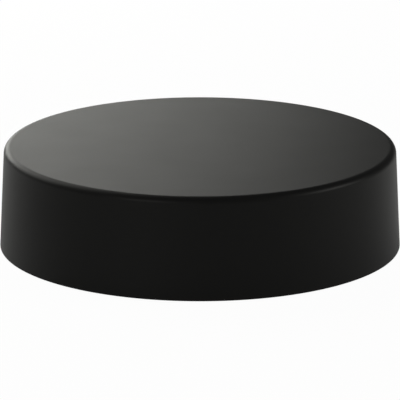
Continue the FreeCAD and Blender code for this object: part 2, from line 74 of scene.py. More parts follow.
def share(description, value):
    return bpy.props.FloatProperty(description=description, subtype="FACTOR", default=value,
                                   min=0, max=1)


def linear(code):
    """Linear colour from an sRGB hex code."""
    parts = [int(code[k:k + 2], 16) / 255 for k in (1, 3, 5)]
    return [c / 12.92 if c <= 0.04045 else ((c + 0.055) / 1.055) ** 2.4 for c in parts]


def colour(description, code):
    return bpy.props.FloatVectorProperty(description=description, subtype="COLOR", min=0,
                                         max=1, default=linear(code))


def named(group):
    """Gives each size in a group its name in the panel, after its attribute."""
    for name, entry in group.__annotations__.items():
        entry.keywords["name"] = name.replace("_", " ").capitalize()
    return group


@named
class PUCK_CoverSizes(bpy.types.PropertyGroup):
    lean: turn("How far the side leans in", 2.8)
    crown_round: length("Round between the side and the flat top", 1.7)
    rim_round: length("Edge break round the rim", 0.12)
    wall: length("Thickness of the side", 2.5)
    roof: length("Thickness of the top", 2.5)
    inside_round: length("Round between the wall and the roof, inside", 1.0)
    boss_radius: length("Outer radius of a screw boss", 3.3)
    boss_round: length("Round at the foot of a screw boss", 0.2)
    pilot_radius: length("Radius of the hole for a screw", 1.25)
    web: length("Thickness of the web from a boss to the wall", 1.5)
    web_low: length("Underside of a web over the panel", 8.1)
    screw_count: count("Cover screws and their bosses", 6)
    steps: count("Facets round the cover", 240)
    shade: colour("Moulded cover and base", "#181818")


@named
class PUCK_BaseSizes(bpy.types.PropertyGroup):
    gap: length("Between the base and the cover, all round", 0.2)
    floor: length("Thickness of the floor", 3.0)
    edge: length("Edge break of the mould", 0.15)
    lip: length("Thickness of the upstand", 2.4)
    lip_height: length("Height of the upstand over the floor", 4.0)
    lip_chamfer: length("Lead-in for the cover", 0.5)
    groove_width: length("Width of the seal's groove", 2.3)
    groove_depth: length("Depth of the seal's groove", 1.4)
    seal_squeeze: length("Squeezed out of the seal's section", 0.04)
    well_wall: length("Thickness of the well's wall", 2.5)
    well_round: length("Round in the well's corner", 1.0)
    mouth_round: length("Round at the well's mouth", 0.5)
    mouth_land: length("Ring between the well and the gasket's recess", 3.2)
    ceiling: length("Thickness of the well's ceiling", 2.0)
    gasket_width: length("Width of the gasket", 11.5)
    gasket_gap: length("Between the gasket and its recess", 0.15)
    gasket_hole: length("Radius of the gasket's holes", 3.2)
    gasket_edge: length("Edge break of the gasket", 0.12)
    rib: length("Thickness of a rib", 1.5)
    rib_height: length("Height of a rib over the floor", 3.4)
    landing_height: length("Height of the pad under a cover boss", 1.5)
    landing_radius: length("Radius of that pad", 4.3)
    standoff_radius: length("Radius of a board standoff", 3.5)
    standoff_angle: turn("Of each standoff from the X axis", 30)
    insert_wall: length("Plastic round an insert", 1.95)
    insert_cap: length("Plastic over an insert", 1.2)
    boss_round: length("Round at the top of a standoff or boss", 0.5)
    vent_hole: length("Radius of the vent's hole", 1.5)
    steps: count("Facets round the base", 192)


@named
class PUCK_FastenerSizes(bpy.types.PropertyGroup):
    head_recess: length("Radius of the recess round a cover screw's head", 3.2)
    screw_hole: length("Radius of the base's hole for a cover screw", 1.7)
    cover_head: length("Radius of a cover screw's head", 2.8)
    cover_head_height: length("Height of that head", 1.8)
    cover_core: length("Radius of a cover screw's thread", 1.25)
    cover_pitch: length("Pitch of a cover screw's thread", 1.3)
    cover_socket: length("Across a cover screw's six-lobe recess", 2.8)
    cover_socket_depth: length("Depth of that recess", 1.1)
    board_head: length("Radius of a board screw's head", 2.3)
    board_head_height: length("Height of that head", 1.5)
    board_core: length("Radius of a board screw's thread", 1.05)
    board_pitch: length("Pitch of a board screw's thread", 1.1)
    board_socket: length("Across a board screw's six-lobe recess", 2.1)
    board_socket_depth: length("Depth of that recess", 0.8)
    board_pilot: length("Radius of a standoff's hole", 1.05)
    insert_radius: length("Outer radius of an insert", 2.8)
    insert_core: length("Core radius of an insert's M4 thread", 1.65)
    insert_pitch: length("Pitch of an insert's M4 thread", 0.7)
    insert_depth: length("Depth of that thread", 0.3)
    insert_bevel: length("Edge break of an insert", 0.15)
    insert_waist: length("Height of the waist between the knurled bands", 0.6)
    waist_depth: length("Depth of that waist", 0.25)
    knurl_depth: length("Depth of a groove round a knurled band", 0.12)
    knurl_count: count("Grooves round a knurled band", 24)
    insert_count: count("Threaded inserts", 4)
    steel: colour("Stainless screws", "#c4c3be")
    brass: colour("Inserts", "#cfa75a")


@named
class PUCK_JackSizes(bpy.types.PropertyGroup):
    block: length("Width of the square block", 9.5)
    block_chamfer: length("Corner cut of the block", 0.6)
    thread: length("Outer radius of the 1/4-36 thread", 3.175)
    pitch: length("Pitch of that thread", 0.7056)
    depth: length("Depth of that thread", 0.4)
    flat: length("From the axis to the flat along the thread", 2.75)
    hole_gap: length("Between the thread and the base's hole", 0.1)
    end_chamfer: length("Chamfer at the mating end", 0.3)
    mouth: length("Radius of the mouth", 2.3)
    mouth_depth: length("Depth of the mouth", 1.9)
    mouth_edge: length("Edge break of the mouth", 0.12)
    insulator: length("Radius of the insulator", 2.05)
    contact: length("Radius of the centre contact", 0.635)
    contact_round: length("Round at the contact's board end", 0.2)
    edge: length("Edge break of the contact and the washer", 0.06)
    socket: length("Radius of the contact's socket", 0.47)
    socket_depth: length("Depth of that socket", 2.4)
    slit: length("Width of the contact's slits", 0.22)
    slit_depth: length("Depth of those slits", 1.8)
    leg: length("Width of a board leg", 0.9)
    leg_tip: length("Width of a board leg at its tip", 0.5)
    leg_offset: length("From the axis to a leg, both ways", 2.54)
    nut_flats: length("Across the nut's flats", 8.0)
    nut_gap: length("Between the nut's thread and the shell's", 0.025)
    washer: length("Outer radius of the lock washer", 4.5)
    washer_teeth: count("Teeth of the lock washer", 12)
    tooth_depth: length("Depth of the cut between two teeth", 0.7)
    tooth_gap: length("Width of that cut", 0.8)
    seal_inner: length("Inner radius of the seal", 3.3)
    seal_width: length("Width of the seal's section", 1.2)
    seal_gap: length("Between the seal and its pocket", 0.15)
    gilt: colour("Gold-plated brass", "#e8c06a")
    insulator_shade: colour("White fluoropolymer", "#e9e8e2")


@named
class PUCK_BoardSizes(bpy.types.PropertyGroup):
    notch_gap: length("Between the board and a cover boss", 0.8)
    screw_hole: length("Radius of the hole for a board screw", 1.35)
    lead_gap: length("Round each lead in its hole", 0.12)
    feed_pin: length("Radius of the patch's feed pin", 0.5)
    sheet: length("Thickness of the radiator's sheet", 0.4)
    short_leg: length("From the radiator's side to its short leg", 2.0)
    feed_leg: length("From the radiator's side to its feed leg", 6.0)
    solder_radius: length("Of a solder joint on the board", 1.25)
    solder_height: length("Of a solder joint", 0.6)
    electrode: length("Thickness of the patch's silver", 0.03)
    electrode_margin: length("Ceramic left bare round the silver", 1.6)
    electrode_trim: length("Two corners cut off the silver", 2.2)
    chip_pitch: length("Between the capacitors' columns", 3.2)
    chip_body: length("Bare length of a capacitor between its ends", 0.5)
    mask: colour("Solder mask", "#1c5a3a")
    laminate: colour("Bare edge of the board", "#b09a5e")


@named
class PUCK_StageSettings(bpy.types.PropertyGroup):
    elevation: turn("Of the camera over the horizon", 15.873)
    distance: length("From the camera to the point it looks at", 1005.75)
    look_height: length("Height of that point", 11.46)
    lens: bpy.props.FloatProperty(description="Focal length", unit="CAMERA", default=362.3)
    floor: colour("Pale floor", "#f2f2f0")
    floor_white: share("Of the floor that the camera sees lit from below", 0.97)
    floor_gleam: share("Of the floor that reflections see lit from below", 0.36)
    wall: colour("Studio round the floor", "#545454")
    light: colour("Colour of the lamps", "#fffff9")
    fade_start: length("Where the back softbox begins to fade, along X", -120)
    fade_end: length("Where the back softbox is dark, along X", 68)


# Places that the engineering model gives
def node_low(node):
    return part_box(node)[0]


def node_high(node):
    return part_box(node)[1]


def centre(node):
    return (node_low(node) + node_high(node)) / 2


def levels(node):
    return node_low(node).z, node_high(node).z


def side_of(node):
    """Radius of the leaning side of the cover or the base, at each height."""
    low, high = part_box(node)
    slope = math.tan(bpy.context.scene.puck_cover.lean)
    return lambda z: high.x - (z - low.z) * slope


def screw_circle():
    return node_high("cover_screws").x - bpy.context.scene.puck_fasteners.cover_head


def insert_circle():
    return node_high("mounting_inserts").x - bpy.context.scene.puck_fasteners.insert_radius


def four_corners(x, y):
    return [(side * x, end * y) for side in (-1, 1) for end in (-1, 1)]


def port_places():
    return [(centre(port + "_jack_shell").x, 0) for port in PORTS]


# Node trees
MATH = "ShaderNodeMath"
WHOLE_MATH = "FunctionNodeIntegerMath"
SOCKETS = {int: "NodeSocketInt", float: "NodeSocketFloat", type(None): "NodeSocketObject"}


def plug(node, sockets):
    """Puts values, outputs or other nodes' first outputs on sockets, by name or in order."""
    if not isinstance(sockets, dict):
        sockets = dict(enumerate(sockets))
    for socket, value in sockets.items():
        if isinstance(value, bpy.types.Node):
            value = value.outputs[0]
        if isinstance(value, bpy.types.NodeSocket):
            node.id_data.links.new(value, node.inputs[socket])
        else:
            node.inputs[socket].default_value = value


def add(tree, kind, sockets=(), **settings):
    """A node with its settings, and what goes on its sockets."""
    node = tree.nodes.new(kind)
    for name, value in settings.items():
        setattr(node, name, value)
    plug(node, sockets)
    return node


def geometry_tree(name, **sizes):
    """A geometry tree and its inputs, from each size's default, or None for an object."""
    tree = bpy.data.node_groups.new(name, "GeometryNodeTree")
    for way in ("OUTPUT", "INPUT"):
        tree.interface.new_socket("Geometry", in_out=way, socket_type="NodeSocketGeometry")
    for size, default in sizes.items():
        socket = tree.interface.new_socket(size, in_out="INPUT",
                                           socket_type=SOCKETS[type(default)])
        if default is not None:
            socket.default_value = default
    tree.interface.new_socket("Material", in_out="INPUT", socket_type="NodeSocketMaterial")
    return tree, add(tree, "NodeGroupInput").outputs


def end_tree(tree, geometry, material):
    """Ends a tree in Realize Instances and Set Material."""
    real = add(tree, "GeometryNodeRealizeInstances", [geometry])
    done = add(tree, "GeometryNodeSetMaterial", {"Geometry": real, "Material": material})
    add(tree, "NodeGroupOutput", [done])
    return tree


# Points nearer than this are one: at the seam of a turned form, and after a cut
SEAM = 0.001 * MM
WELD = 0.0005 * MM


@functools.cache
def turned_tree():
    """Turns an outline, drawn as a string of points in the XZ plane, about Z."""
    tree, given = geometry_tree("Turned form", Steps=96)
    size = add(tree, "GeometryNodeAttributeDomainSize", [given["Geometry"]])
    rows = size.outputs["Point Count"]
    columns = add(tree, WHOLE_MATH, [given["Steps"], 1], operation="ADD")
    grid = add(tree, "GeometryNodeMeshGrid", {"Vertices X": columns, "Vertices Y": rows})
    index = add(tree, "GeometryNodeInputIndex")
    row = add(tree, WHOLE_MATH, [index, rows], operation="MODULO")
    column = add(tree, WHOLE_MATH, [index, rows], operation="DIVIDE_FLOOR")
    angle = add(tree, MATH, [column, math.tau], operation="MULTIPLY")
    angle = add(tree, MATH, [angle, given["Steps"]], operation="DIVIDE")
    place = add(tree, "GeometryNodeInputPosition")
    sample = add(tree, "GeometryNodeSampleIndex",
                 {"Geometry": given["Geometry"], "Value": place, "Index": row},
                 data_type="FLOAT_VECTOR")
    swung = add(tree, "ShaderNodeVectorRotate", {"Vector": sample, "Angle": angle},
                rotation_type="Z_AXIS")
    shaped = add(tree, "GeometryNodeSetPosition", {"Geometry": grid, "Position": swung})
    closed = add(tree, "GeometryNodeMergeByDistance", {"Geometry": shaped, "Distance": SEAM})
    return end_tree(tree, closed, given["Material"])


# Share of a pitch left flat at a crest and at a root
FLAT = 0.06
# How near a point is to the radius of the wall that it lies on
ON_WALL = 0.02 * MM


@functools.cache
def wave_tree():
    """Cuts a thread or knurl into the wall that lies at one radius."""
    tree, given = geometry_tree("Helical wave", Starts=1.0, Pitch=MM, Depth=0.1 * MM,
                                Radius=MM, Low=0.0, High=MM, Fade=0.1 * MM)
    place = add(tree, "GeometryNodeInputPosition")
    x, y, z = add(tree, "ShaderNodeSeparateXYZ", [place]).outputs
    squares = [add(tree, MATH, [side, side], operation="MULTIPLY") for side in (x, y)]
    square = add(tree, MATH, squares, operation="ADD")
    radius = add(tree, MATH, [square], operation="SQRT")
    angle = add(tree, MATH, [y, x], operation="ARCTAN2")
    turns = add(tree, MATH, [angle, math.tau], operation="DIVIDE")
    twist = add(tree, MATH, [turns, given["Starts"]], operation="MULTIPLY")
    rise = add(tree, MATH, [z, given["Pitch"]], operation="DIVIDE")
    phase = add(tree, MATH, [rise, twist], operation="SUBTRACT")
    flank = add(tree, MATH, [phase, 0.5], operation="PINGPONG")
    wave = add(tree, "ShaderNodeMapRange", [flank, FLAT, 0.5 - FLAT])
    full_from = add(tree, MATH, [given["Low"], given["Fade"]], operation="ADD")
    full_to = add(tree, MATH, [given["High"], given["Fade"]], operation="SUBTRACT")
    depth = add(tree, "ShaderNodeMapRange", [z, given["Low"], full_from])
    before = add(tree, "ShaderNodeMapRange", [z, given["High"], full_to])
    wall = add(tree, MATH, [radius, given["Radius"], ON_WALL], operation="COMPARE")
    for part in (before, wall, wave, given["Depth"]):
        depth = add(tree, MATH, [depth, part], operation="MULTIPLY")
    left = add(tree, MATH, [radius, depth], operation="SUBTRACT")
    whole = add(tree, MATH, [radius, SEAM], operation="MAXIMUM")
    factor = add(tree, MATH, [left, whole], operation="DIVIDE")
    scale = add(tree, "ShaderNodeCombineXYZ", [factor, factor, 1.0])
    pressed = add(tree, "ShaderNodeVectorMath", [place, scale], operation="MULTIPLY")
    shaped = add(tree, "GeometryNodeSetPosition",
                 {"Geometry": given["Geometry"], "Position": pressed})
    return end_tree(tree, shaped, given["Material"])


@functools.cache
def ring_tree():
    """Copies a form round Z, moved out to a circle first."""
    tree, given = geometry_tree("Ring of copies", Count=6, Circle=0.0, Start=0.0)
    out = add(tree, "ShaderNodeCombineXYZ", [given["Circle"]])
    form = add(tree, "GeometryNodeTransform",
               {"Geometry": given["Geometry"], "Translation": out})
    points = add(tree, "GeometryNodeMeshLine", {"Count": given["Count"], "Offset": (0, 0, 0)})
    index = add(tree, "GeometryNodeInputIndex")
    angle = add(tree, MATH, [index, math.tau], operation="MULTIPLY")
    angle = add(tree, MATH, [angle, given["Count"]], operation="DIVIDE")
    angle = add(tree, MATH, [angle, given["Start"]], operation="ADD")
    euler = add(tree, "ShaderNodeCombineXYZ", {"Z": angle})
    rotation = add(tree, "FunctionNodeEulerToRotation", [euler])
    copies = add(tree, "GeometryNodeInstanceOnPoints",
                 {"Points": points, "Instance": form, "Rotation": rotation})
    return end_tree(tree, copies, given["Material"])


@functools.cache
def solid_tree(operation):
    """Joins, cuts or crosses a form with the solids of one other object."""
    tree, given = geometry_tree("Solid " + operation.lower(), Tool=None)
    tool = add(tree, "GeometryNodeObjectInfo", [given["Tool"]])
    first = "Mesh 1" if operation == "DIFFERENCE" else "Mesh 2"
    result = add(tree, "GeometryNodeMeshBoolean",
                 {"Self Intersection": True, first: given["Geometry"]},
                 operation=operation, solver="EXACT")
    plug(result, {"Mesh 2": tool.outputs["Geometry"]})
    clean = add(tree, "GeometryNodeMergeByDistance", {"Geometry": result, "Distance": WELD})
    return end_tree(tree, clean, given["Material"])


# Forms, in metres. Each mesh has one material, and a cutter's is None.
def new_mesh(name, material):
    mesh = bpy.data.meshes.new(name)
    mesh.materials.append(material)
    return mesh


def in_scene(name, data):
    obj = bpy.data.objects.new(name, data)
    bpy.context.scene.collection.objects.link(obj)
    return obj


def applied(mesh, tree, **values):
    """Runs a mesh through a tree, and returns the result as a plain mesh."""
    material = mesh.materials[0]
    if material:
        values["Material"] = material
    carrier = in_scene("carrier", mesh)
    modifier = carrier.modifiers.new(tree.name, "NODES")
    modifier.node_group = tree
    for item in tree.interface.items_tree:
        if item.in_out == "INPUT" and item.name in values:
            modifier[item.identifier] = values[item.name]
    graph = bpy.context.evaluated_depsgraph_get()
    result = bpy.data.meshes.new_from_object(carrier.evaluated_get(graph), depsgraph=graph)
    bpy.data.objects.remove(carrier)
    bpy.data.meshes.remove(mesh)
    result.materials.clear()
    result.materials.append(material)
    return result


# Where a point is kept beside an arc, as a share of its radius, so that flats shade flat
SHOULDER = 0.12


def outline(corners, closed, divisions):
    """Points along (a, b, round) corners: arcs divided, and a point kept beside each arc."""
    points = []
    total = len(corners)
    for k, (a, b, *edge) in enumerate(corners):
        here = Vector((a, b))
        radius = edge[0] if edge else 0
        if radius == 0 or (not closed and k in (0, total - 1)):
            points.append(here)
            continue
        before = Vector(corners[k - 1][:2]) - here
        after = Vector(corners[(k + 1) % total][:2]) - here
        inner = before.angle(after)
        reach = radius / math.tan(inner / 2)
        middle = here + (before.normalized() + after.normalized()).normalized() * (
            radius / math.sin(inner / 2))
        start = here + before.normalized() * reach - middle
        sweep = math.pi - inner
        side = 1 if before.cross(after) < 0 else -1
        steps = max(2, round(divisions * sweep / (math.pi / 2)))
        shoulder = SHOULDER * radius
        if before.length > reach + 2 * shoulder:
            points.append(here + before.normalized() * (reach + shoulder))
        for j in range(steps + 1):
            points.append(middle + Matrix.Rotation(side * sweep * j / steps, 2) @ start)
        if after.length > reach + 2 * shoulder:
            points.append(here + after.normalized() * (reach + shoulder))
    if closed:
        points.append(points[0].copy())
    return points


def straight(radius, low, high, step):
    """Corners up or down one wall, close enough together for a thread."""
    parts = max(1, round(abs(high - low) / step))
    return [(radius, low + (high - low) * k / parts) for k in range(parts + 1)]


def turned(corners, material=None, steps=48, closed=False, divisions=6):
    """Solid turned about Z from (radius, height, round) corners, counter-clockwise."""
    points = outline(corners, closed, divisions)
    wire = new_mesh("outline", material)
    wire.from_pydata([(p.x, 0, p.y) for p in points],
                     [(k, k + 1) for k in range(len(points) - 1)], [])
    return applied(wire, turned_tree(), Steps=steps)


def post(radius, low, high, material=None, edge=0, steps=48):
    """Round post with an edge round at its top, or the cutter for a round hole."""
    return turned([(0, low), (radius, low), (radius, high, edge), (0, high)], material, steps,
                  divisions=4)


def countersunk(radius, low, high, edge):
    """Cutter for a round hole whose lower edge is broken."""
    return turned([(0, low - edge), (radius + 2 * edge, low - edge), (radius, low + edge),
                   (radius, high), (0, high)])


def collar(inner, outer, low, high, edges, material, steps):
    """Ring with a square section, its inner and outer edges rounded."""
    return turned([(inner, low, edges[0]), (outer, low, edges[1]), (outer, high, edges[1]),
                   (inner, high, edges[0])], material, steps, closed=True, divisions=3)


def oval_ring(inner, outer, low, high, steps):
    """Rubber ring with an oval section, as a squeezed round seal has."""
    sides = 24
    angles = [math.tau * k / sides for k in range(sides)]
    return turned([((inner + outer) / 2 + (outer - inner) / 2 * math.cos(angle),
                    (low + high) / 2 + (high - low) / 2 * math.sin(angle))
                   for angle in angles], finish("silicone seal"), steps, closed=True)


def prism(points, low, high, material=None):
    """Upright prism on a counter-clockwise outline of (x, y) points."""
    mesh = new_mesh("prism", material)
    form = bmesh.new()
    bottom, top = ([form.verts.new((x, y, z)) for x, y in points] for z in (low, high))
    form.faces.new(reversed(bottom))
    form.faces.new(top)
    for k in range(len(points)):
        j = (k + 1) % len(points)
        form.faces.new((bottom[k], bottom[j], top[j], top[k]))
    form.to_mesh(mesh)
    form.free()
    return mesh


def bar(start, end, width, low, high):
    """Bar along X, centred on Y."""
    half = width / 2
    return prism([(start, -half), (end, -half), (end, half), (start, half)], low, high)


def moved(mesh, x, y=0):
    mesh.transform(Matrix.Translation((x, y, 0)))
    return mesh


def together(meshes):
    """Several meshes as one, with nothing joined, in the first one's material."""
    result = new_mesh("together", meshes[0].materials[0])
    form = bmesh.new()
    for mesh in meshes:
        form.from_mesh(mesh)
        bpy.data.meshes.remove(mesh)
    form.to_mesh(result)
    form.free()
    return result


def solid(operation, mesh, tools):
    """Joins a form with the tools, cuts them out of it, or keeps what they share."""
    tool = in_scene("tool", together(tools))
    result = applied(mesh, solid_tree(operation), Tool=tool)
    spent = tool.data
    bpy.data.objects.remove(tool)
    bpy.data.meshes.remove(spent)
    return result


joined = functools.partial(solid, "UNION")
cut = functools.partial(solid, "DIFFERENCE")
common = functools.partial(solid, "INTERSECT")


def ring(mesh, number, circle=0.0, start=0.0):
    return applied(mesh, ring_tree(), Count=number, Circle=circle, Start=start)


def copies_at(mesh, places):
    """One copy of a mesh at each place, as one mesh."""
    copies = [moved(mesh.copy(), x, y) for x, y in places]
    bpy.data.meshes.remove(mesh)
    return together(copies)


def at_screws(mesh):
    return ring(mesh, bpy.context.scene.puck_cover.screw_count, screw_circle())


def at_inserts(mesh):
    return ring(mesh, bpy.context.scene.puck_fasteners.insert_count, insert_circle())


def at_standoffs(mesh):
    x = node_high("board_screws").x - bpy.context.scene.puck_fasteners.board_head
    y = x * math.tan(bpy.context.scene.puck_base.standoff_angle)
    return copies_at(mesh, four_corners(x, y))


SHARP_EDGE = math.radians(32)


def piece(name, mesh, slot, *nodes):
    """Puts a finished mesh in the scene, for the CAD nodes that it stands for."""
    mesh.name = name
    mesh.shade_smooth()
    mesh.set_sharp_from_angle(angle=SHARP_EDGE)
    obj = in_scene(name, mesh)
    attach(obj, "root")
    if nodes:
        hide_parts(*nodes)


# Materials
def surface(name, shade, roughness, **constants):
    """A material and its shader, with constants on the shader's own sockets."""
    material = bpy.data.materials.new(name)
    material.use_nodes = True
    shader = material.node_tree.nodes["Principled BSDF"]
    own = {socket.replace("_", " "): value for socket, value in constants.items()}
    plug(shader, {"Base Color": (*shade, 1), "Roughness": roughness, **own})
    return material, shader


def grain(shader, millimetres, height):
    """Fine relief of one grain size, with its height in millimetres."""
    tree = shader.id_data
    place = add(tree, "ShaderNodeTexCoord").outputs["Object"]
    noise = add(tree, "ShaderNodeTexNoise", {
        "Vector": place, "Scale": 1 / (millimetres * MM), "Detail": 2.0, "Roughness": 0.5})
    bump = add(tree, "ShaderNodeBump", {
        "Strength": 1.0, "Distance": height * MM, "Height": noise})
    plug(shader, {"Normal": bump})
    return place


def clouds(shader, place, millimetres, low, high):
    """A slow change between two values, with patches of one size."""
    noise = add(shader.id_data, "ShaderNodeTexNoise", {
        "Vector": place, "Scale": 1 / (millimetres * MM), "Detail": 3.0})
    return add(shader.id_data, "ShaderNodeMapRange", [noise, 0.3, 0.7, low, high])


def two_tones(shader, share_of_second, first, second):
    """Mixes two colours over a surface, by the share of the second."""
    mixed = add(shader.id_data, "ShaderNodeMix",
                {0: share_of_second, "A": (*first, 1), "B": (*second, 1)}, data_type="RGBA")
    plug(shader, {"Base Color": mixed.outputs["Result"]})


def moulded_plastic(name, shade, roughness, spread):
    """Plastic from a sparked mould, with a gloss that is a little uneven."""
    material, shader = surface(name, shade, roughness, Specular_IOR_Level=0.08)
    # The mould's grain is about 0.03 mm, and is drawn as coarse as it needs to show
    place = grain(shader, 0.16, 0.004)
    plug(shader, {"Roughness": clouds(shader, place, 14, roughness - spread,
                                      roughness + spread)})
    return material


def even_skin(name, shade, roughness, grain_size):
    """Rubber, foam, film or resin with a fine even skin."""
    material, shader = surface(name, shade, roughness, Specular_IOR_Level=0.3)
    grain(shader, grain_size, 0.01)
    return material


def bare_metal(name, shade, roughness, wear):
    """Metal polished unevenly where tools and fingers have touched it."""
    material, shader = surface(name, shade, roughness, Metallic=1.0)
    # Tool marks are about 0.02 mm apart, and are drawn as coarse as they need to show
    place = grain(shader, 0.12, 0.0015)
    plug(shader, {"Roughness": clouds(shader, place, 2.5, roughness - wear,
                                      roughness + wear)})
    return material


def fired_ceramic(name, shade, roughness):
    """Pressed powder, fired, with faint cloudy changes of tone."""
    material, shader = surface(name, shade, roughness, Specular_IOR_Level=0.4)
    place = grain(shader, 0.08, 0.004)
    darkest = 0.88
    two_tones(shader, clouds(shader, place, 3, 0.0, 1.0), [darkest * c for c in shade], shade)
    return material


def soft_plastic(name, shade, roughness):
    """Unpainted plastic that lets a little light in."""
    material, shader = surface(name, shade, roughness, Specular_IOR_Level=0.4,
                               Subsurface_Weight=0.15, Subsurface_Scale=0.4 * MM)
    grain(shader, 0.3, 0.003)
    return material


def solder_mask(name, mask, edge, roughness):
    """Screened mask on both faces, over the bare routed edge of a laminate."""
    material, shader = surface(name, mask, roughness)
    tree = shader.id_data
    facing = add(tree, "ShaderNodeTexCoord").outputs["Normal"]
    upright = add(tree, "ShaderNodeSeparateXYZ", [facing]).outputs["Z"]
    flat = add(tree, MATH, [upright], operation="ABSOLUTE")
    face = add(tree, MATH, [flat, 0.5], operation="GREATER_THAN")
    two_tones(shader, face, edge, mask)
    grain(shader, 0.5, 0.003)
    return material


def chip_ends(name, body, ends, pitch, bare):
    """Ceramic chips in columns along X, with metal caps on both ends."""
    material, shader = surface(name, body, 0.5)
    tree = shader.id_data
    place = grain(shader, 0.05, 0.002)
    x = add(tree, "ShaderNodeSeparateXYZ", [place])
    from_middle = add(tree, MATH, [x, pitch / 2, -pitch / 2], operation="WRAP")
    distance = add(tree, MATH, [from_middle], operation="ABSOLUTE")
    tinned = add(tree, MATH, [distance, bare / 2], operation="GREATER_THAN")
    two_tones(shader, tinned, body, ends)
    plug(shader, {"Metallic": tinned})
    return material


# Each finish has its maker, its colours and its values. A name tells the stuff and how its
# surface was made, and the comment over it what that gives the eye.
FINISHES = {
    # An even satin black that spreads every highlight, with no grain to see
    "moulded ABS, spark finish": (moulded_plastic, "puck_cover.shade", 0.43, 0.008),
    # Moulded smooth: black, with one soft highlight along the ring
    "silicone seal": (even_skin, "#1b1b1b", 0.5, 0.15),
    # Die-cut from foamed sheet: matt, and pricked by its cells
    "closed-cell rubber sheet": (even_skin, "#242423", 0.7, 0.35),
    # Stretched film: chalky white, with no shine
    "expanded PTFE film": (even_skin, "#dcdcd8", 0.8, 0.06),
    # Cold-headed and tumbled: bright, with blurred reflections
    "stainless steel, tumbled": (bare_metal, "puck_fasteners.steel", 0.3, 0.06),
    # Barrel-plated: bluish and a little milky
    "zinc-plated steel": (bare_metal, "#b9bcc0", 0.34, 0.05),
    # Turned and knurled: warm yellow, with streaky gloss
    "free-cutting brass": (bare_metal, "puck_fasteners.brass", 0.28, 0.06),
    # Turned, then plated: deep yellow, the brightest of the metals
    "gold-plated brass": (bare_metal, "puck_jack.gilt", 0.22, 0.05),
    # Turned from rod: waxy white
    "white fluoropolymer": (soft_plastic, "puck_jack.insulator_shade", 0.4),
    # Screened and cured: glossy green faces round a dull straw edge
    "green mask on laminate": (solder_mask, "puck_board.mask", "puck_board.laminate", 0.35),
    # Flowed and left to set: bright, soft-edged silver
    "flowed solder": (bare_metal, "#c6c6c4", 0.25, 0.05),
    # Rolled, dipped and folded: pale grey satin
    "tinned steel sheet": (bare_metal, "#c2c0ba", 0.33, 0.05),
    # Drawn in a die: warm grey satin
    "drawn nickel silver": (bare_metal, "#b8b5ab", 0.3, 0.04),
    # Transfer-moulded: dark grey and matt
    "moulded epoxy": (even_skin, "#232324", 0.55, 0.05),
    # Moulded without pigment: milky, with light in its edges
    "natural acetal": (soft_plastic, "#ded9ca", 0.42),
    # Pressed and fired: dull buff, in faint clouds
    "fired ceramic": (fired_ceramic, "#c9bb9d", 0.6),
    # Foamed and slit: matt and off-white
    "acrylic foam tape": (even_skin, "#d6d5cd", 0.8, 0.15),
    # Fired and dipped: brown bodies between two silver caps
    "fired chips, tinned ends": (chip_ends, "#9c7f5a", "#c9c8c5", "puck_board.chip_pitch",
                                 "puck_board.chip_body"),
    # Printed and fired: silver with a soft bloom
    "fired silver paste": (bare_metal, "#cfcdc8", 0.42, 0.05),
}
PLASTIC = "moulded ABS, spark finish"
GILT = "gold-plated brass"


@functools.cache
def finish(name):
    """The material of one finish, with its colours and sizes looked up."""
    make, *values = FINISHES[name]
    for k, value in enumerate(values):
        if isinstance(value, str):
            is_code = value.startswith("#")
            values[k] = linear(value) if is_code else bpy.context.scene.path_resolve(value)
    return make(name, *values)


# The housing
# How far a cutter reaches past the form
PAST = MM
# Room left in a pilot hole beyond its screw's tip
PILOT_GAP = 0.6 * MM


class PUCK_OT_cover(bpy.types.Operator):
    """Builds the drafted cover with its bosses and webs"""
    bl_idname = "puck.cover"
    bl_label = "Cover"

    def execute(self, context):
        size, base = context.scene.puck_cover, context.scene.puck_base
        rim, crown = levels("radome")
        outer = side_of("radome")
        roof = crown - size.roof
        shell = turned([
            (0, roof),
            (outer(roof) - size.wall, roof, size.inside_round),
            (outer(rim) - size.wall, rim, size.rim_round),
            (outer(rim), rim, size.rim_round),
            (outer(crown), crown, size.crown_round),
            (0, crown),
        ], finish(PLASTIC), size.steps, divisions=14)
        boss_low = rim + base.floor + base.landing_height
        pilot_top = node_high("cover_screws").z + PILOT_GAP
        inside_roof = roof + size.roof / 2
        boss = turned([
            (0, pilot_top), (size.pilot_radius, pilot_top), (size.pilot_radius, boss_low),
            (size.boss_radius, boss_low, size.boss_round), (size.boss_radius, inside_roof),
            (0, inside_roof)])
        web_start = (size.pilot_radius + size.boss_radius) / 2
        web_end = outer(crown) - size.wall / 2 - screw_circle()
        web = bar(web_start, web_end, size.web, size.web_low, inside_roof)
        bosses = at_screws(joined(boss, [web]))
        piece("radome_cover", joined(shell, [bosses]), "radome_plastic", "radome")
        return {"FINISHED"}


